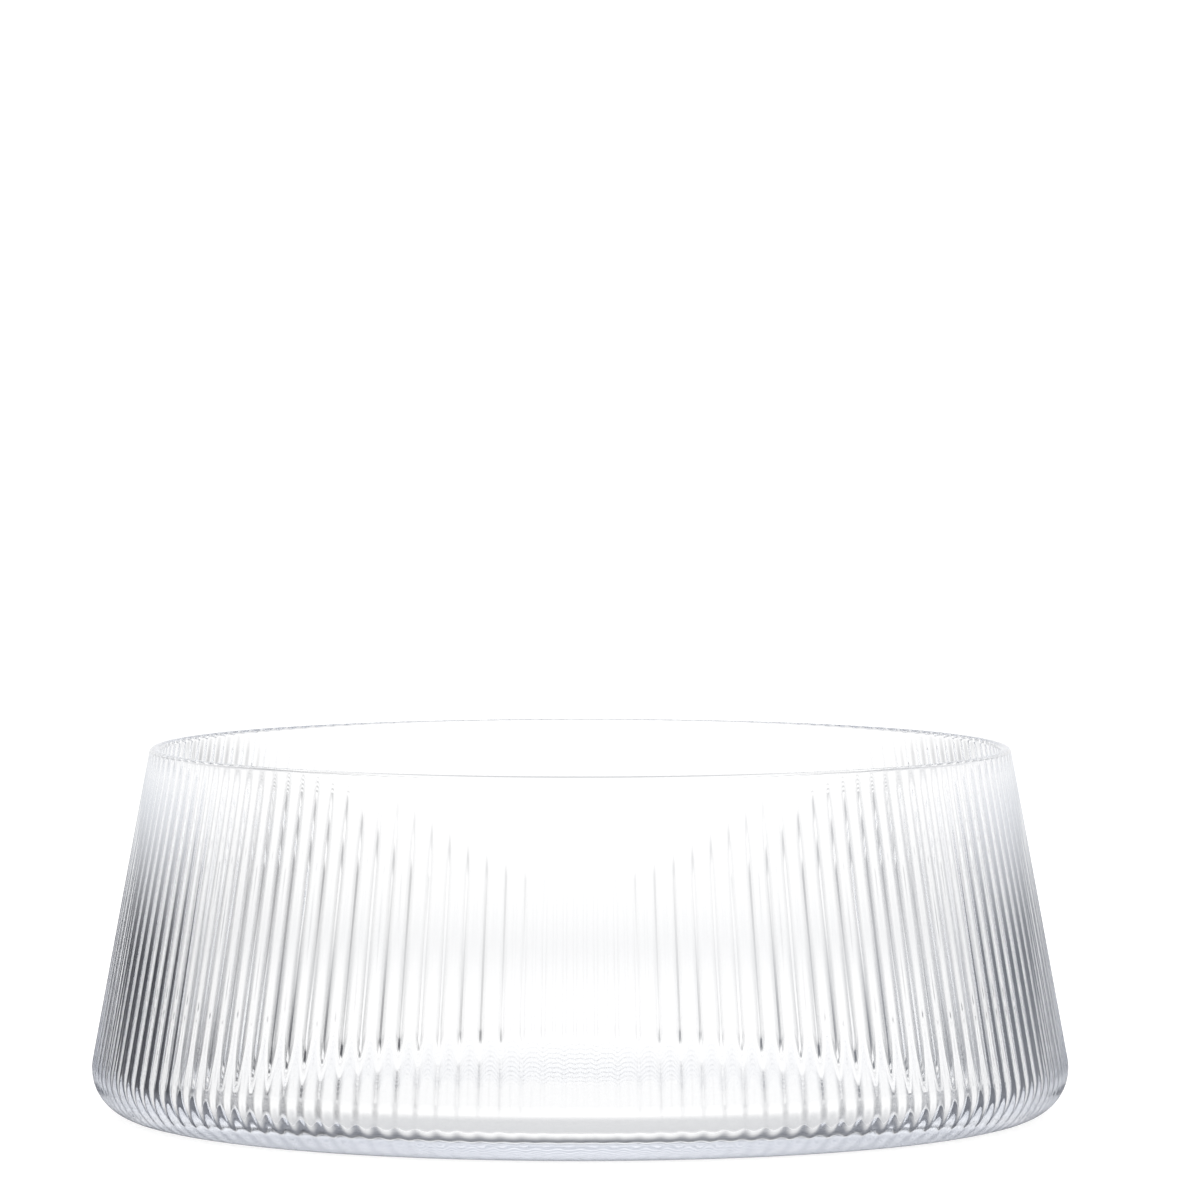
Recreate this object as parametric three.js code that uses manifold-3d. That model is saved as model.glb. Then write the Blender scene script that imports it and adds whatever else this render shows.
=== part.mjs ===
// Ribbed glass salad bowl, one piece of clear glass with a thick base.
// Millimetres, +Z up, origin at the centre of the foot, on the surface the bowl stands on.

import * as THREE from 'three';
import { mergeVertices } from 'three/addons/utils/BufferGeometryUtils.js';
import Module from 'manifold-3d';

// Outside of the bowl, measured over the crests of the ribs
const HEIGHT = 94;
const RIM_DIAMETER = 220;
const WIDEST_DIAMETER = 250;
const HEEL_RADIUS = 12;

// Glass thickness: the wall grows from the rim down towards the heel
const RIM_WALL = 2.8;
const HEEL_WALL = 4.2;
const BASE_THICKNESS = 6;
const INNER_HEEL_RADIUS = 7;

// The melted, rounded rim keeps a narrow level crown
const RIM_CROWN = 0.4;

// Upright ribs all round the outside, a shallow even wave from crest to valley
const RIB_COUNT = 148;
const RIB_DEPTH = 0.32;
// The ribs run out under the heel, over this angle above the foot
const RIB_FADE_ANGLE = THREE.MathUtils.degToRad(55);

// The bowl stands on a flat ring, and the underside within it is slightly hollow
const FOOT_RING_WIDTH = 12;
const UNDERSIDE_HOLLOW = 1;

// Facets
const STEPS_PER_RIB = 4;
const PLAIN_STEPS = 96;
const HEEL_STEPS = 3;
const RIM_STEPS = 2;
const HOLLOW_STEPS = 3;
// How far a cutting solid stands out of the glass
const CUT_MARGIN = 5;

// The heel arc touches the surface below and the widest point beside it
const heelCentre = new THREE.Vector2(WIDEST_DIAMETER / 2 - HEEL_RADIUS, HEEL_RADIUS);

// A straight wall in the half plane of the profile, from its radius at the foot's level to that at the rim's.
// It gives the radius at a height, on the wall or so far inside it.
function leaningWall(footRadius, rimRadius) {
  const lean = Math.atan2(footRadius - rimRadius, HEIGHT);
  return {
    lean,
    radiusAt: (height, inset) => footRadius - height * Math.tan(lean) - inset / Math.cos(lean),
  };
}

// The outside wall touches the heel arc and leans in to the rim
const outerRimRadius = RIM_DIAMETER / 2;
const reach = new THREE.Vector2(outerRimRadius, HEIGHT).sub(heelCentre);
const touchAngle = reach.angle() - Math.acos(HEEL_RADIUS / reach.length());
const outerWall = leaningWall(outerRimRadius + HEIGHT * Math.tan(touchAngle), outerRimRadius);

// The inside wall stands off it by the thickness of the glass at the foot's level and at the rim
const innerWall = leaningWall(outerWall.radiusAt(0, HEEL_WALL), outerWall.radiusAt(HEIGHT, RIM_WALL));

// A point of an arc in the half plane of the profile, with its outward direction
function arcPoint(centre, radius, angle) {
  const outward = new THREE.Vector2(Math.cos(angle), Math.sin(angle));
  return { place: outward.clone().multiplyScalar(radius).add(centre), outward, angle };
}

function arc(centre, radius, fromAngle, toAngle, steps) {
  const points = [];
  for (let i = 0; i <= steps; i += 1) {
    points.push(arcPoint(centre, radius, THREE.MathUtils.lerp(fromAngle, toAngle, i / steps)));
  }
  return points;
}

// Both edges of the rim are rounded, leaving the crown between them
const rimRounding = (RIM_WALL - RIM_CROWN) / 2;
const rimCentreHeight = HEIGHT - rimRounding;
const outerRimCentre = new THREE.Vector2(outerWall.radiusAt(rimCentreHeight, rimRounding), rimCentreHeight);
const innerRimCentre = new THREE.Vector2(innerWall.radiusAt(rimCentreHeight, -rimRounding), rimCentreHeight);

// Directions on an arc: straight down at the foot, level at the widest point, straight up at the rim
const DOWN = -Math.PI / 2;
const LEVEL = 0;
const UP = Math.PI / 2;

// The outside profile from the foot to the rim: each ring has its share of the rib depth
function outsideRings() {
  const heel = arc(heelCentre, HEEL_RADIUS, DOWN, LEVEL, HEEL_STEPS);
  heel.push(arcPoint(heelCentre, HEEL_RADIUS, outerWall.lean));
  for (const ring of heel) {
    ring.ribShare = Math.min(1, (ring.angle - DOWN) / RIB_FADE_ANGLE);
  }
  const rim = arc(outerRimCentre, rimRounding, outerWall.lean, UP, RIM_STEPS);
  for (const [step, ring] of rim.entries()) {
    ring.ribShare = 1 - step / RIM_STEPS;
  }
  return [...heel, ...rim];
}

// Depth of the rib wave at a part of a turn: 0 on a crest, 1 in the valley between two ribs
function ribValley(turn) {
  return (1 - Math.cos(2 * Math.PI * RIB_COUNT * turn)) / 2;
}

// A revolved solid, turned from the lathe's upright Y to Z
function revolve(outline, steps, shape) {
  const lathe = new THREE.LatheGeometry(outline, steps);
  const position = lathe.getAttribute('position');
  for (let i = 0; i < position.count; i += 1) {
    const turn = Math.floor(i / outline.length) / steps;
    shape?.(position, i, i % outline.length, turn);
  }
  return lathe.rotateX(Math.PI / 2);
}

// The whole outside as a solid, its ribs pressed into the glass along each ring's outward direction
function ribbedBody() {
  const rings = outsideRings();
  const onAxis = [new THREE.Vector2(0, 0), new THREE.Vector2(0, HEIGHT)];
  const outline = [onAxis[0], ...rings.map((ring) => ring.place), onAxis[1]];
  return revolve(outline, STEPS_PER_RIB * RIB_COUNT, (position, i, row, turn) => {
    const ring = rings[row - 1];
    if (!ring) return;
    const inset = RIB_DEPTH * ring.ribShare * ribValley(turn);
    const radius = ring.place.x - inset * ring.outward.x;
    const angle = 2 * Math.PI * turn;
    position.setXYZ(i, radius * Math.sin(angle), ring.place.y - inset * ring.outward.y, radius * Math.cos(angle));
  });
}

// The smooth inside as a solid to cut away: level floor, round heel, leaning wall and rounded rim edge
function cavity() {
  const heelHeight = BASE_THICKNESS + INNER_HEEL_RADIUS;
  const centre = new THREE.Vector2(innerWall.radiusAt(heelHeight, INNER_HEEL_RADIUS), heelHeight);
  const heel = arc(centre, INNER_HEEL_RADIUS, DOWN, innerWall.lean, HEEL_STEPS);
  const rim = arc(innerRimCentre, rimRounding, Math.PI + innerWall.lean, UP, RIM_STEPS);
  const top = HEIGHT + CUT_MARGIN;
  const outline = [
    new THREE.Vector2(0, BASE_THICKNESS),
    ...heel.map((point) => point.place),
    ...rim.map((point) => point.place),
    new THREE.Vector2(innerRimCentre.x, top),
    new THREE.Vector2(0, top),
  ];
  return revolve(outline, PLAIN_STEPS);
}

// The shallow dome under the base as a solid to cut away
function undersideDome() {
  const edge = heelCentre.x - FOOT_RING_WIDTH;
  const radius = (edge ** 2 + UNDERSIDE_HOLLOW ** 2) / (2 * UNDERSIDE_HOLLOW);
  const centre = new THREE.Vector2(0, UNDERSIDE_HOLLOW - radius);
  const dome = arc(centre, radius, Math.acos(edge / radius), UP, HOLLOW_STEPS);
  dome.at(-1).place.x = 0;
  const outline = [
    new THREE.Vector2(0, -CUT_MARGIN),
    new THREE.Vector2(edge, -CUT_MARGIN),
    ...dome.map((point) => point.place),
  ];
  return revolve(outline, PLAIN_STEPS);
}

const wasm = await Module();
wasm.setup();

// A closed geometry as a solid for cutting: shared corners merged, triangles collapsed on the axis left out
function solid(geometry) {
  geometry.deleteAttribute('normal');
  geometry.deleteAttribute('uv');
  const merged = mergeVertices(geometry);
  const corners = merged.getIndex().array;
  const triangles = [];
  for (let i = 0; i < corners.length; i += 3) {
    const [a, b, c] = corners.slice(i, i + 3);
    if (a !== b && b !== c && c !== a) triangles.push(a, b, c);
  }
  return new wasm.Manifold(new wasm.Mesh({
    numProp: 3,
    vertProperties: new Float32Array(merged.getAttribute('position').array),
    triVerts: new Uint32Array(triangles),
  }));
}

// A finished solid as a geometry again
function geometryOf(manifold) {
  const mesh = manifold.getMesh();
  const geometry = new THREE.BufferGeometry();
  geometry.setAttribute('position', new THREE.BufferAttribute(mesh.vertProperties, 3));
  geometry.setIndex(new THREE.BufferAttribute(mesh.triVerts, 1));
  geometry.computeVertexNormals();
  return geometry;
}

function glassBowl() {
  const glass = solid(ribbedBody()).subtract(solid(cavity())).subtract(solid(undersideDome()));
  const clearGlass = new THREE.MeshStandardMaterial({
    color: '#eef1f6',
    roughness: 0.03,
    metalness: 0,
    transparent: true,
    opacity: 0.35,
  });
  const mesh = new THREE.Mesh(geometryOf(glass), clearGlass);
  mesh.name = 'glass_bowl';
  return mesh;
}

const saladBowl = new THREE.Group();
saladBowl.add(glassBowl());

export default saladBowl;
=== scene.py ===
# %% [markdown]
# # A ribbed salad bowl in clear glass
#
# The bowl is one piece of glass: a straight wall that leans in towards the rim, a round heel, a thick base
# and fine upright ribs all round the outside. Everything you see on it is light bent by that shape, so the
# lesson has two halves: a true solid of glass, and a studio that gives the glass something to bend.

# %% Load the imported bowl
import math

import bpy
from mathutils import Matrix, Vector


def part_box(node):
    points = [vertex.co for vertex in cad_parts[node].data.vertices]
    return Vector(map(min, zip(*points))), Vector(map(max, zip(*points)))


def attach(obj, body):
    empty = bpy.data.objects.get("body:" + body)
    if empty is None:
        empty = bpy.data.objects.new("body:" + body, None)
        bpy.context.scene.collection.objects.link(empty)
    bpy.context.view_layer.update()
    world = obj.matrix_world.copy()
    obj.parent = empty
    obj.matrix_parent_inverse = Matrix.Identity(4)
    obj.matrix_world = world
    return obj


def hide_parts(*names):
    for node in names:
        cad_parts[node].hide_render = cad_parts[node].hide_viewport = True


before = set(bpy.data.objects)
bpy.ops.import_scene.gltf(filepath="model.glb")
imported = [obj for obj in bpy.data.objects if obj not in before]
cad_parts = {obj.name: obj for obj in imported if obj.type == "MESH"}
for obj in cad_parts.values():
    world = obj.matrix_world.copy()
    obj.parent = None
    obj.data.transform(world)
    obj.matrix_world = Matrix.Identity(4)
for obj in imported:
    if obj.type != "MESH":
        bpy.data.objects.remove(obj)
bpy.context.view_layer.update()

foot_corner, rim_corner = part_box("glass_bowl")
print("bowl in the frame:", foot_corner, rim_corner)

# %% [markdown]
# ## The sizes of the glass
#
# All lengths are in metres. The height and the widest diameter come from the frame, so the looks can never
# drift away from the solid. The rest are the bowl's own driving sizes: the rim, the wall, the base and the
# ribs.

# %% Sizes
mm = 0.001
height = rim_corner[2]
widest_radius = rim_corner[0]
rim_radius = 110 * mm
heel_rounding = 12 * mm
rim_wall = 2.8 * mm
heel_wall = 4.2 * mm
base_thickness = 6 * mm
inner_heel_rounding = 7 * mm
rim_rounding = 1.2 * mm
foot_ring_width = 12 * mm
underside_hollow = 1 * mm
rib_count = 148
rib_depth = 0.42 * mm
print("pitch of the ribs:", round(2 * math.pi * widest_radius / rib_count / mm, 2), "mm")

# %% [markdown]
# ## The half profile
#
# A bowl like this is turned in a mould, so its shape is one outline spun about the upright axis. The outline
# could be drawn with every arc in it, but it is easier to read with sharp corners: each corner carries a
# number, its rounding, and the node tree rounds it later. The outline runs from the middle of the underside
# out to the heel, up the wall, over the rim, down the inside and back to the middle of the floor.

# %% Where the wall leans
heel_centre = Vector((widest_radius - heel_rounding, heel_rounding))
reach = Vector((rim_radius, height)) - heel_centre
wall_lean = math.atan2(reach.y, reach.x) - math.acos(heel_rounding / reach.length)
wall_distance = rim_radius * math.cos(wall_lean) + height * math.sin(wall_lean)
print("the wall leans in by", round(math.degrees(wall_lean), 2), "degrees")


def wall_radius(at_height, inset=0.0):
    """Radius of the outside wall, or of a surface so far inside it, at a height."""
    return (wall_distance - inset - at_height * math.sin(wall_lean)) / math.cos(wall_lean)


# %% Points of the hollow and of the walls
def spread(steps):
    """Even shares between two ends, without the ends."""
    return [step / steps for step in range(1, steps)]


def dome(share):
    """A point of the shallow hollow under the base, from its middle (0) to its edge (1)."""
    edge = heel_centre.x - foot_ring_width
    return (edge * share, underside_hollow * (1 - share ** 2))


def on_wall(share, inside=False):
    """A point of the straight wall, from above the heel (0) to below the rim (1)."""
    low = base_thickness + 2 * heel_rounding
    high = height - 2 * rim_wall
    at_height = low + (high - low) * share
    thickness = heel_wall + (rim_wall - heel_wall) * at_height / height
    return (wall_radius(at_height, thickness if inside else 0.0), at_height)


print("straight wall:", on_wall(0), "to", on_wall(1))

# %% Corners of the profile
sharp = 0.0
wall_steps, base_steps = 3, 4
wall_shares = (0, *spread(wall_steps), 1)
profile = [(*dome(share), sharp) for share in (0, *spread(base_steps), 1)]
profile += [(wall_radius(0), 0, heel_rounding)]
profile += [(*on_wall(share), sharp) for share in wall_shares]
profile += [(rim_radius, height, rim_rounding)]
profile += [(wall_radius(height, rim_wall), height, rim_rounding)]
profile += [(*on_wall(1 - share, inside=True), sharp) for share in wall_shares]
floor_corner = wall_radius(base_thickness, heel_wall)
profile += [(floor_corner, base_thickness, inner_heel_rounding)]
profile += [(floor_corner * (1 - share), base_thickness, sharp) for share in (*spread(base_steps), 1)]
print("corners in the profile:", len(profile))

# %% The profile as a mesh of edges
profile_mesh = bpy.data.meshes.new("bowl_profile")
steps_along = [(i, i + 1) for i in range(len(profile) - 1)]
profile_mesh.from_pydata([(radius, up, 0) for radius, up, _ in profile], steps_along, [])
rounding = profile_mesh.attributes.new("rounding", "FLOAT", "POINT")
rounding.data.foreach_set("value", [corner[2] for corner in profile])
bowl = bpy.data.objects.new("glass_bowl_ribbed", profile_mesh)
bpy.context.scene.collection.objects.link(bowl)
print("edges in the profile:", len(profile_mesh.edges))

# %% [markdown]
# ## Spinning the profile and pressing the ribs
#
# Ribs repeat and follow a rule, so Geometry Nodes make them. The tree rounds the corners of the profile,
# spins it about the axis, and then puts every point by one rule: go out along the profile, but sink into the
# glass where the point lies in a valley between two ribs. Crests and valleys make one shallow even wave, so
# a cosine gives the depth. Beads with sharp valleys would be the other choice, but they bend the light too
# far and double every stripe. The ribs belong only where the surface faces outwards and sideways: they end
# below the rim and run out under the heel.

# %% Small helpers for building node trees
def put(tree, kind, *feeds, **settings):
    """Add a node, set its properties, and link or fill its inputs in order. None leaves an input alone."""
    node = tree.nodes.new(kind)
    for name, value in settings.items():
        setattr(node, name, value)
    sockets = [socket for socket in node.inputs if socket.enabled]
    for socket, feed in zip(sockets, feeds):
        if isinstance(feed, bpy.types.NodeSocket):
            tree.links.new(feed, socket)
        elif feed is not None:
            socket.default_value = feed
    return node


def calc(tree, operation, *feeds):
    """A Math node's result, in a shader tree or a geometry tree."""
    return put(tree, "ShaderNodeMath", *feeds, operation=operation).outputs[0]


def ease(tree, value, low, high):
    """0 below low, 1 above high, and a soft change between."""
    node = put(tree, "ShaderNodeMapRange", interpolation_type="SMOOTHSTEP")
    tree.links.new(value, node.inputs["Value"])
    node.inputs["From Min"].default_value = low
    node.inputs["From Max"].default_value = high
    return node.outputs["Result"]


def both(tree, *shares):
    """The product of shares, 1 only where all are 1."""
    result = shares[0]
    for share in shares[1:]:
        result = calc(tree, "MULTIPLY", result, share)
    return result


def opposite(tree, share):
    """1 where the share is 0."""
    return calc(tree, "SUBTRACT", 1.0, share)


# %% The ribbed bowl tree: its inputs
tree = bpy.data.node_groups.new("spin_ribbed_bowl", "GeometryNodeTree")
tree.interface.new_socket("Profile", in_out="INPUT", socket_type="NodeSocketGeometry")
tree_inputs = {
    "Rib Count": ("NodeSocketInt", rib_count),
    "Steps Per Rib": ("NodeSocketInt", 10),
    "Rib Depth": ("NodeSocketFloat", rib_depth),
    "Corner Steps": ("NodeSocketInt", 11),
    "Glass": ("NodeSocketMaterial", None),
}
identifiers = {}
for name, (kind, _) in tree_inputs.items():
    identifiers[name] = tree.interface.new_socket(name, in_out="INPUT", socket_type=kind).identifier
tree.interface.new_socket("Bowl", in_out="OUTPUT", socket_type="NodeSocketGeometry")
given = put(tree, "NodeGroupInput").outputs
print("inputs of the tree:", ", ".join(identifiers))

# %% The ribbed bowl tree: round the corners
outline = put(tree, "GeometryNodeMeshToCurve", given["Profile"]).outputs["Curve"]
stored = put(tree, "GeometryNodeInputNamedAttribute", "rounding", data_type="FLOAT")
fillet = put(tree, "GeometryNodeFilletCurve", mode="POLY")
tree.links.new(outline, fillet.inputs["Curve"])
tree.links.new(given["Corner Steps"], fillet.inputs["Count"])
tree.links.new(stored.outputs["Attribute"], fillet.inputs["Radius"])

place = put(tree, "GeometryNodeCaptureAttribute", fillet.outputs["Curve"], domain="POINT")
place.capture_items.new("VECTOR", "place")
place.capture_items.new("VECTOR", "along")
tree.links.new(put(tree, "GeometryNodeInputPosition").outputs[0], place.inputs["place"])
tree.links.new(put(tree, "GeometryNodeInputTangent").outputs[0], place.inputs["along"])
print("nodes that round the corners:", len(tree.nodes))

# %% The ribbed bowl tree: spin
columns = calc(tree, "MULTIPLY", given["Rib Count"], given["Steps Per Rib"])
circle = put(tree, "GeometryNodeCurvePrimitiveCircle", columns, mode="RADIUS").outputs["Curve"]
turn = put(tree, "GeometryNodeCaptureAttribute", circle, domain="POINT")
turn.capture_items.new("INT", "column")
tree.links.new(put(tree, "GeometryNodeInputIndex").outputs[0], turn.inputs["column"])
net = put(tree, "GeometryNodeCurveToMesh")
tree.links.new(turn.outputs["Geometry"], net.inputs["Curve"])
tree.links.new(place.outputs["Geometry"], net.inputs["Profile Curve"])
print("nodes with the spin:", len(tree.nodes))

# %% The ribbed bowl tree: where the ribs are
profile_place = put(tree, "ShaderNodeSeparateXYZ", place.outputs["place"]).outputs
profile_along = put(tree, "ShaderNodeSeparateXYZ", place.outputs["along"]).outputs
out_radial = profile_along["Y"]
out_upward = calc(tree, "MULTIPLY", profile_along["X"], -1.0)

full_turn = 2 * math.pi
rib_number = calc(tree, "DIVIDE", turn.outputs["column"], given["Steps Per Rib"])
wave = calc(tree, "COSINE", calc(tree, "MULTIPLY", rib_number, full_turn))
valley = calc(tree, "MULTIPLY", opposite(tree, wave), 0.5)

facing_down, facing_aside = -1.0, -0.57
rib_end = (height - 5 * mm, height - 1.5 * mm)
above_foot = ease(tree, out_upward, facing_down, facing_aside)
below_rim = opposite(tree, ease(tree, profile_place["Y"], *rib_end))
outside = calc(tree, "GREATER_THAN", out_radial, 0.0)
inset = both(tree, given["Rib Depth"], valley, above_foot, below_rim, outside)
print("nodes with the ribs:", len(tree.nodes))

# %% The ribbed bowl tree: put every point
radius = calc(tree, "SUBTRACT", profile_place["X"], calc(tree, "MULTIPLY", inset, out_radial))
up = calc(tree, "SUBTRACT", profile_place["Y"], calc(tree, "MULTIPLY", inset, out_upward))
angle = calc(tree, "MULTIPLY", calc(tree, "DIVIDE", turn.outputs["column"], columns), full_turn)
x = calc(tree, "MULTIPLY", radius, calc(tree, "SINE", angle))
y = calc(tree, "MULTIPLY", calc(tree, "MULTIPLY", radius, calc(tree, "COSINE", angle)), -1.0)
spot = put(tree, "ShaderNodeCombineXYZ", x, y, up).outputs[0]
shaped = put(tree, "GeometryNodeSetPosition", net.outputs["Mesh"], None, spot).outputs[0]
merge = put(tree, "GeometryNodeMergeByDistance", shaped)
merge.inputs["Distance"].default_value = 0.002 * mm
outward = put(tree, "GeometryNodeFlipFaces", merge.outputs[0]).outputs[0]
smooth = put(tree, "GeometryNodeSetShadeSmooth", outward).outputs[0]
whole = put(tree, "GeometryNodeRealizeInstances", smooth).outputs[0]
dressed = put(tree, "GeometryNodeSetMaterial", whole, None, given["Glass"]).outputs[0]
put(tree, "NodeGroupOutput", dressed)
print("nodes in the tree:", len(tree.nodes))

# %% [markdown]
# ## Clear glass
#
# The glass is colourless to the eye and turns faintly cool where it is thick, at the base and the rim. A
# plain glass shader does the bending of the light. The tint could be a pale colour on the surface, but that
# would be the same on the thin wall and on the thick base. A little absorption inside the glass grows with
# the thickness by itself. Pressed glass is never perfectly even, so a soft noise gives it patches with a
# trace of haze and a very weak ripple.

# %% Glass material
glass = bpy.data.materials.new("clear_ribbed_glass")
glass.use_nodes = True
nodes, links = glass.node_tree.nodes, glass.node_tree.links
surface = nodes["Principled BSDF"]
surface.inputs["Base Color"].default_value = (1.0, 1.0, 1.0, 1.0)
surface.inputs["IOR"].default_value = 1.5
surface.inputs["Transmission Weight"].default_value = 1.0
tint = nodes.new("ShaderNodeVolumeAbsorption")
tint.inputs["Color"].default_value = (0.25, 0.38, 0.68, 1.0)
tint.inputs["Density"].default_value = 0.9
links.new(tint.outputs["Volume"], nodes["Material Output"].inputs["Volume"])
print("index of the glass:", surface.inputs["IOR"].default_value)

# %% Haze and ripple of the glass
patches = put(glass.node_tree, "ShaderNodeTexNoise")
patches.inputs["Scale"].default_value = 40.0
patches.inputs["Detail"].default_value = 1.0
links.new(put(glass.node_tree, "ShaderNodeTexCoord").outputs["Object"], patches.inputs["Vector"])

patch_edge, most_haze = (0.45, 0.75), 0.02
in_patch = ease(glass.node_tree, patches.outputs["Fac"], *patch_edge)
haze = calc(glass.node_tree, "MULTIPLY", in_patch, most_haze)
links.new(haze, surface.inputs["Roughness"])

ripple = put(glass.node_tree, "ShaderNodeBump")
ripple.inputs["Strength"].default_value = 0.05
ripple.inputs["Distance"].default_value = 0.5 * mm
links.new(patches.outputs["Fac"], ripple.inputs["Height"])
links.new(ripple.outputs["Normal"], surface.inputs["Normal"])
print("nodes of the glass:", len(nodes))

# %% Make the bowl a plain mesh
spin = bowl.modifiers.new("spin", "NODES")
spin.node_group = tree
for name, (_, value) in tree_inputs.items():
    spin[identifiers[name]] = value
spin[identifiers["Glass"]] = glass
solid_bowl = bowl.evaluated_get(bpy.context.evaluated_depsgraph_get())
mesh = bpy.data.meshes.new_from_object(solid_bowl)
bowl.modifiers.remove(spin)
bowl.data = mesh
mesh.name = "glass_bowl_ribbed"
print("bowl:", len(mesh.polygons), "faces")
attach(bowl, "root")
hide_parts("glass_bowl")

# %% [markdown]
# ## The studio
#
# Clear glass has no look of its own: it shows its surroundings, bent. A photographer sets it before a narrow
# white panel and leaves the room dark on both sides. Light that comes straight through stays white, and
# light that a rib turns aside, or that the wall throws back, comes from the dark and draws a grey line. A
# single panel would do for a single picture. Here the panels repeat all round, so that every side of the
# bowl looks like the front.
#
# Cycles counts on the way of the light how often it passed a surface and how often a surface mirrored it.
# The studio's materials ask for these counts, so each kind of line in the glass has a surrounding of its own
# and can be set without spoiling the others.

# %% Helpers for the studio's node trees
def plain_tree(data):
    """An empty node tree of a material or a world."""
    data.use_nodes = True
    data.node_tree.nodes.clear()
    return data.node_tree


def blend(tree, share, low, high):
    """A colour between two colours."""
    node = put(tree, "ShaderNodeMix", data_type="RGBA")
    tree.links.new(share, node.inputs["Factor"])
    for socket, feed in zip((node.inputs[6], node.inputs[7]), (low, high)):
        if isinstance(feed, bpy.types.NodeSocket):
            tree.links.new(feed, socket)
        else:
            socket.default_value = (*feed, 1)
    return node.outputs[2]


def either(tree, share, yes, no):
    """One value where the share is 1, another where it is 0."""
    return calc(tree, "ADD", both(tree, yes, share), both(tree, no, opposite(tree, share)))


def ease_angle(tree, angle, low, high):
    """A soft change between two angles, given in degrees."""
    return ease(tree, angle, math.radians(low), math.radians(high))


# %% Helpers that tell one kind of light from another
passes, mirrorings = "Transmission Depth", "Glossy Depth"
wall_surfaces = 2
many_mirrorings = 8


def fewer(tree, events, limit):
    """1 for light that has met fewer events of a kind than the limit."""
    return calc(tree, "LESS_THAN", put(tree, "ShaderNodeLightPath").outputs[events], limit - 0.5)


def straight(tree):
    """1 for light that nothing has mirrored."""
    return fewer(tree, mirrorings, 1)


def guided(tree):
    """1 for light that ran along inside the base, mirrored many times."""
    return opposite(tree, fewer(tree, mirrorings, many_mirrorings))


def thrown_back(tree):
    """1 for light that the first wall mirrors, or throws back inside itself and lets out again."""
    first_wall = fewer(tree, passes, 2 * wall_surfaces)
    return both(tree, first_wall, opposite(tree, straight(tree)), opposite(tree, guided(tree)))


# %% Helpers that tell where the light goes
def bearing(tree, place):
    """Angle of a place or a direction about the upright axis, 0 straight behind the bowl."""
    return calc(tree, "ARCTAN2", place["X"], place["Y"])


def from_panel(tree, angle, panels):
    """How far an angle is from the middle of the nearest of so many panels."""
    half = math.pi / panels
    return calc(tree, "ABSOLUTE", calc(tree, "WRAP", angle, half, -half))


# %% [markdown]
# ## The room
#
# For most light the room is simply white. It is dark, from the lamps down to the foot of the bowl, for light
# that the first wall throws back, and that draws the grey side of every rib. The room is darker on the left
# than on the right, as in the photo. Two fine things need a grey of their own. The far rim shows the ground
# behind the bowl as one thin line. The base band is light that ran round in the glass, so it turns grey-blue
# where that light leaves between two panels. A picture of a studio, wrapped round the scene, would be the
# usual way, but it gives every kind of light the same surroundings.

# %% The room: the dark
dark_left, dark_right, dark_low = (0.025, 0.028, 0.04), (0.13, 0.14, 0.165), (0.17, 0.18, 0.21)
lamp_edge, foot_edge, low_edge = (13, 26), (-76, -34), (-34, -16)
left_to_right = (-0.35, 0.35)

world = bpy.data.worlds.new("white_studio")
bpy.context.scene.world = world
tree = plain_tree(world)
direction = put(tree, "ShaderNodeTexCoord").outputs["Generated"]
toward = put(tree, "ShaderNodeSeparateXYZ", direction).outputs
level = calc(tree, "ARCSINE", toward["Z"])
below_lamps = opposite(tree, ease_angle(tree, level, *lamp_edge))
above_foot = ease_angle(tree, level, *foot_edge)
dark_share = both(tree, thrown_back(tree), below_lamps, above_foot)
dark_aside = blend(tree, ease(tree, toward["X"], *left_to_right), dark_left, dark_right)
dark = blend(tree, ease_angle(tree, level, *low_edge), dark_low, dark_aside)
print("nodes of the dark:", len(tree.nodes))

# %% The room: the painted shade of the ground behind the bowl
# painted shade: for light that came straight through one wall, the room is grey low down, like the floor
# behind the bowl lying in shade
white, ground_shade_grey = (1.12, 1.12, 1.12), (0.62, 0.63, 0.65)
ground_top, ground_end = (-31, -20), (-66, -52)

one_wall = fewer(tree, passes, wall_surfaces + 1)
below_top = opposite(tree, ease_angle(tree, level, *ground_top))
above_end = ease_angle(tree, level, *ground_end)
ground_share = both(tree, straight(tree), one_wall, below_top, above_end)
ground = blend(tree, ground_share, white, ground_shade_grey)
print("nodes with the ground:", len(tree.nodes))

# %% The room: the light in the base, and the whole
base_dark, base_share = (0.1, 0.11, 0.14), 0.42
panels, panel_edge = 4, (16, 34)
floor_gain = 0.2

off_panel = ease_angle(tree, from_panel(tree, bearing(tree, toward), panels), *panel_edge)
in_base = calc(tree, "MULTIPLY", both(tree, guided(tree), off_panel), base_share)
pale = blend(tree, in_base, ground, base_dark)
room = blend(tree, dark_share, pale, dark)
on_floor = put(tree, "ShaderNodeLightPath").outputs["Is Diffuse Ray"]
strength = calc(tree, "ADD", calc(tree, "MULTIPLY", on_floor, floor_gain), 1.0)
put(tree, "ShaderNodeOutputWorld", put(tree, "ShaderNodeBackground", room, strength).outputs[0])
print("nodes of the room:", len(tree.nodes))

# %% [markdown]
# ## The dark cards
#
# The stripes on the wall are dark cards beside the white panels, seen through the glass and squeezed by each
# rib. Cards painted on the world would be endlessly far away and look the same from every point of the bowl,
# so these stand on a round wall near it. High up there are four wide cards. They leave the upper middle of
# the bowl clear. Low down there are eight narrow ones, which bring fine stripes down to the heel. Their
# edges are soft, like the edge of a panel's light.

# %% Things that only the light in the glass can meet
round_steps = 128


def light_only(thing, name):
    """Name a thing and hide it from the camera and the floor. Gives the node tree of its new material."""
    thing.name = name
    thing.visible_camera = False
    thing.visible_diffuse = False
    thing.visible_shadow = False
    thing.data.materials.append(bpy.data.materials.new(name))
    return plain_tree(thing.data.materials[0])


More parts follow.
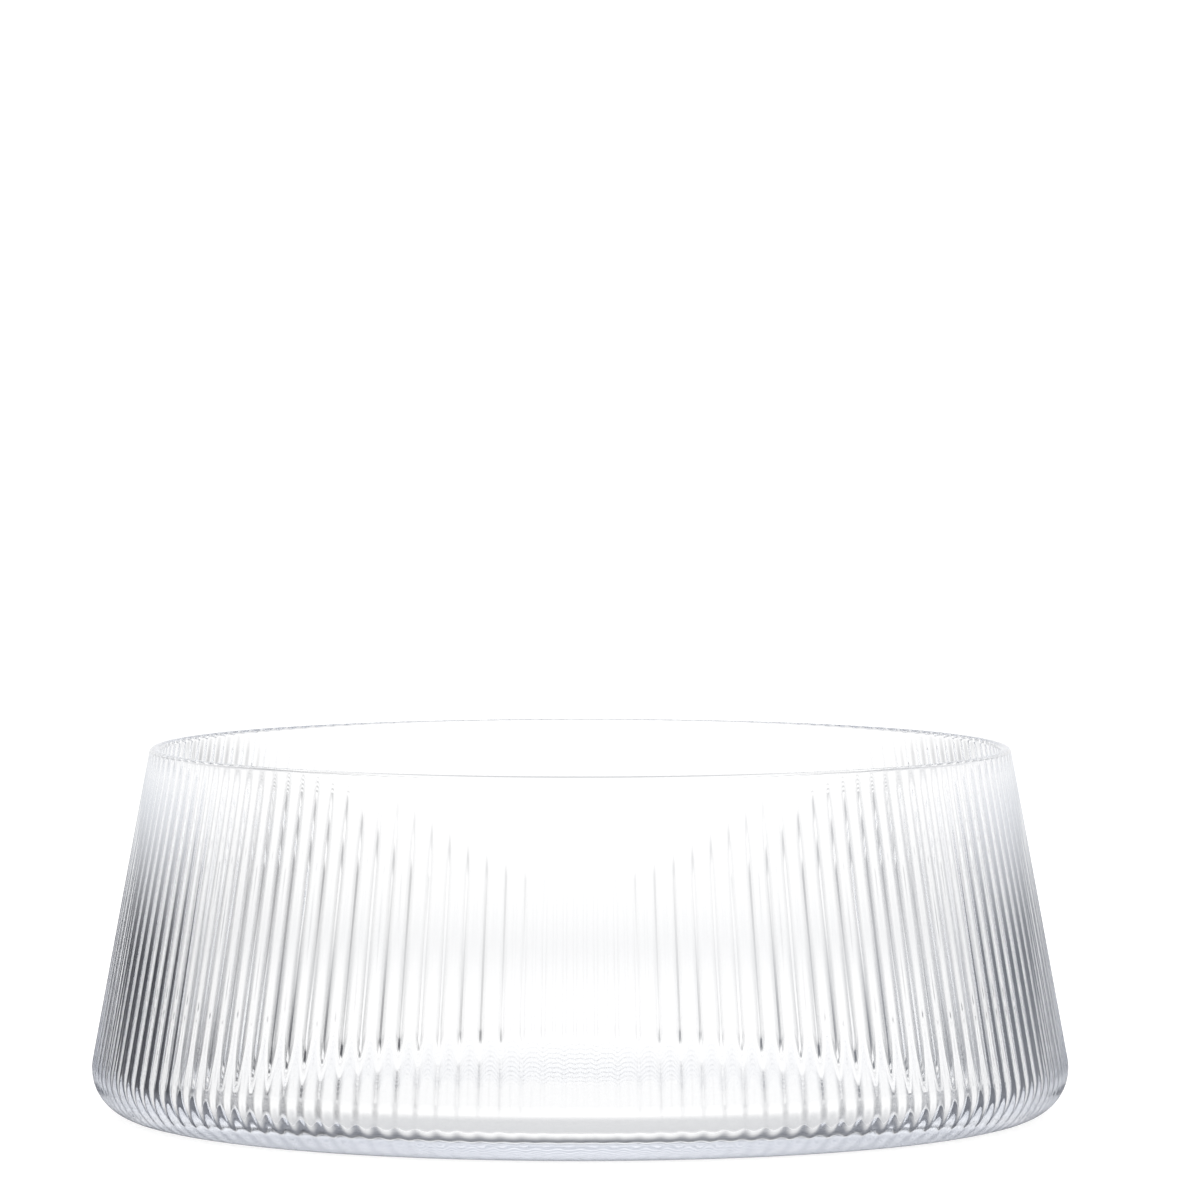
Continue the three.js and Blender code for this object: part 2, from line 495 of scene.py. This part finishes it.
def round_wall(name, radius, low, high):
    """A cylinder about the bowl, for light only. Gives the node tree of its material."""
    middle = (0, 0, (low + high) / 2)
    bpy.ops.mesh.primitive_cylinder_add(
        vertices=round_steps, radius=radius, depth=high - low, end_fill_type="NOTHING", location=middle
    )
    wall = bpy.context.object
    tree = light_only(wall, name)
    return tree


def glow_where(tree, share, colour):
    """A surface that glows in a colour where the share is 1, and isn't there where it is 0."""
    glow = put(tree, "ShaderNodeEmission", colour).outputs[0]
    clear = put(tree, "ShaderNodeBsdfTransparent").outputs[0]
    seen = put(tree, "ShaderNodeMixShader", share, clear, glow).outputs[0]
    put(tree, "ShaderNodeOutputMaterial", seen)


# %% The dark cards: where they are
card_distance, card_foot, card_head = 0.8, -0.45, 0.25
wide_edge, narrow_edge = (7, 29), (8, 20)
change_height, fade_height = (-0.16, -0.12), (0.11, 0.17)

tree = round_wall("dark_cards", card_distance, card_foot, card_head)
spot = put(tree, "ShaderNodeSeparateXYZ", put(tree, "ShaderNodeNewGeometry").outputs["Position"]).outputs
wide = ease_angle(tree, from_panel(tree, bearing(tree, spot), panels), *wide_edge)
narrow = ease_angle(tree, from_panel(tree, bearing(tree, spot), 2 * panels), *narrow_edge)
between = either(tree, ease(tree, spot["Z"], *change_height), wide, narrow)
below_top = opposite(tree, ease(tree, spot["Z"], *fade_height))
print("nodes of the cards' shape:", len(tree.nodes))

# %% The dark cards: which light they meet
over_floor = (0.0, 0.03)
left_to_right = (-0.3, 0.3)

once = both(tree, fewer(tree, mirrorings, 2), ease(tree, spot["Z"], *over_floor))
kinds = calc(tree, "MAXIMUM", calc(tree, "MAXIMUM", straight(tree), once), guided(tree))
dark = blend(tree, ease(tree, spot["X"], *left_to_right), dark_left, dark_right)
glow_where(tree, both(tree, between, below_top, kinds), dark)
print("nodes of the cards:", len(tree.nodes))

# %% [markdown]
# ## The light ring
#
# Near the rim the stripes end in white, in the middle lower than at the sides. So a ring of light stands
# close round the bowl, before the cards, and its lower edge rises from each panel to the side. Light that
# the first wall throws back meets an edge of its own, higher in front of the bowl than behind it. A weak
# glow under the ring lifts the lower stripes, as a white table would.

# %% The light ring: the glow of the table
ring_distance, ring_foot, ring_head = 0.15, 0.0, 0.2
table_edge, table_share = (0.012, 0.03), 0.35

tree = round_wall("light_ring", ring_distance, ring_foot, ring_head)
spot = put(tree, "ShaderNodeSeparateXYZ", put(tree, "ShaderNodeNewGeometry").outputs["Position"]).outputs
back = thrown_back(tree)
through = opposite(tree, back)
table = calc(tree, "MULTIPLY", both(tree, ease(tree, spot["Z"], *table_edge), through), table_share)
print("nodes of the table's glow:", len(tree.nodes))

# %% The light ring: its edge for light from the far side
first_turn, first_lift = (8, 40), 0.026
last_turn, last_lift = (35, 44), 0.03
far_edge = (0.026, 0.062)

aside = from_panel(tree, bearing(tree, spot), panels)
first_rise = calc(tree, "MULTIPLY", ease_angle(tree, aside, *first_turn), first_lift)
last_rise = calc(tree, "MULTIPLY", ease_angle(tree, aside, *last_turn), last_lift)
lifted = calc(tree, "SUBTRACT", spot["Z"], calc(tree, "ADD", first_rise, last_rise))
far_lamp = both(tree, ease(tree, lifted, *far_edge), through)
print("nodes with the far edge:", len(tree.nodes))

# %% The light ring: its edge for light thrown back
front_to_behind = (-0.035, -0.005)
behind_edge, front_edge = (0.042, 0.088), (0.072, 0.1)

behind = ease(tree, spot["Y"], *front_to_behind)
side_lamp = either(
    tree, behind, ease(tree, spot["Z"], *behind_edge), ease(tree, spot["Z"], *front_edge)
)
lamp = calc(tree, "ADD", both(tree, side_lamp, back), far_lamp)
print("nodes with both edges:", len(tree.nodes))

# %% The light ring: its colours
far_low, far_high, far_change = (0.82, 0.83, 0.85), (1.1, 1.1, 1.1), (0.025, 0.045)
back_low, back_high, back_change = (0.76, 0.78, 0.82), (1.0, 1.0, 1.0), (0.08, 0.1)

far_light = blend(tree, ease(tree, spot["Z"], *far_change), far_low, far_high)
back_light = blend(tree, ease(tree, spot["Z"], *back_change), back_low, back_high)
shade = blend(tree, back, far_light, back_light)
glow_where(tree, calc(tree, "MAXIMUM", table, lamp), shade)
print("nodes of the ring:", len(tree.nodes))

# %% [markdown]
# ## The painted shadow under the bowl
#
# The front rim is a fine grey line. Its light comes down through the base, where a real bowl stands in its
# own shade. A darker floor would do it too, but it would grey the whole base. So the shade under the bowl is
# painted on a grey disc well below the floor. Only light that leaves steeply meets it, and so it darkens
# little else.

# %% Painted shadow under the bowl: a grey disc
shadow_disc_radius, shadow_disc_height = 0.16, -0.06
shadow_disc_fade = (0.1, 0.17)
# painted shadow: this grey stands in for the bowl's own shade on the table, seen through the base
painted_shadow_grey = (0.56, 0.57, 0.59, 1)

bpy.ops.mesh.primitive_circle_add(
    vertices=round_steps, radius=shadow_disc_radius, fill_type="NGON", location=(0, 0, shadow_disc_height)
)
shadow_disc = bpy.context.object
tree = light_only(shadow_disc, "shadow_mat")
spot = put(tree, "ShaderNodeNewGeometry").outputs["Position"]
from_foot = put(tree, "ShaderNodeVectorMath", spot, operation="LENGTH").outputs["Value"]
painted_shadow_share = opposite(tree, ease(tree, from_foot, *shadow_disc_fade))
# the painted shadow glows grey in the middle of the disc, only for light that nothing has mirrored
glow_where(tree, both(tree, painted_shadow_share, straight(tree)), painted_shadow_grey)
print("nodes of the mat:", len(tree.nodes))

# %% [markdown]
# ## The floor and the camera
#
# The bowl stands on a plain pale floor, so pale that it runs into the background. Some of its white is a
# glow, which keeps the shade of the bowl faint. Light inside the glass passes the floor and meets the room,
# the cards and the grey disc of painted shadow instead. The camera stands far back with a long lens, a
# little above the rim. Its place was fitted to the ellipses of the rim and the line of the foot.

# %% Floor
floor_radius = 8
floor_grey, floor_glow = (0.35, 0.35, 0.355, 1), (0.78, 0.78, 0.78, 1)

bpy.ops.mesh.primitive_circle_add(
    vertices=round_steps, radius=floor_radius, fill_type="NGON", location=(0, 0, 0)
)
floor = bpy.context.object
floor.name = "studio_floor"
floor.visible_glossy = False
floor.visible_transmission = False
floor_material = bpy.data.materials.new("pale_floor")
tree = plain_tree(floor_material)
pale = put(tree, "ShaderNodeBsdfDiffuse", floor_grey).outputs[0]
lit = put(tree, "ShaderNodeEmission", floor_glow).outputs[0]
put(tree, "ShaderNodeOutputMaterial", put(tree, "ShaderNodeAddShader", pale, lit).outputs[0])
floor.data.materials.append(floor_material)
print("floor:", 2 * floor_radius, "m across")

# %% Camera
camera = bpy.data.objects.new("camera", bpy.data.cameras.new("camera"))
bpy.context.scene.collection.objects.link(camera)
camera.location = (0, -2.4598, 0.2607)
aim = Vector((0.00507, 0, 0.1315))
camera.rotation_euler = (aim - camera.location).to_track_quat("-Z", "Y").to_euler()
camera.data.sensor_width = 36
camera.data.lens = 289
bpy.context.scene.camera = camera
print("camera to bowl:", round((aim - camera.location).length, 3), "m")

# %% [markdown]
# ## How the picture is developed
#
# The standard view keeps white paper white. Glass needs many bounces, because the light in the base is
# mirrored again and again before it comes out, and each mirroring that is cut off would leave a black spot.

# %% Colours and bounces
scene = bpy.context.scene
scene.view_settings.view_transform = "Standard"
scene.cycles.max_bounces = 48
scene.cycles.transmission_bounces = 48
scene.cycles.glossy_bounces = 48
scene.cycles.transparent_max_bounces = 16
scene.cycles.diffuse_bounces = 3
print("bounces:", scene.cycles.max_bounces)
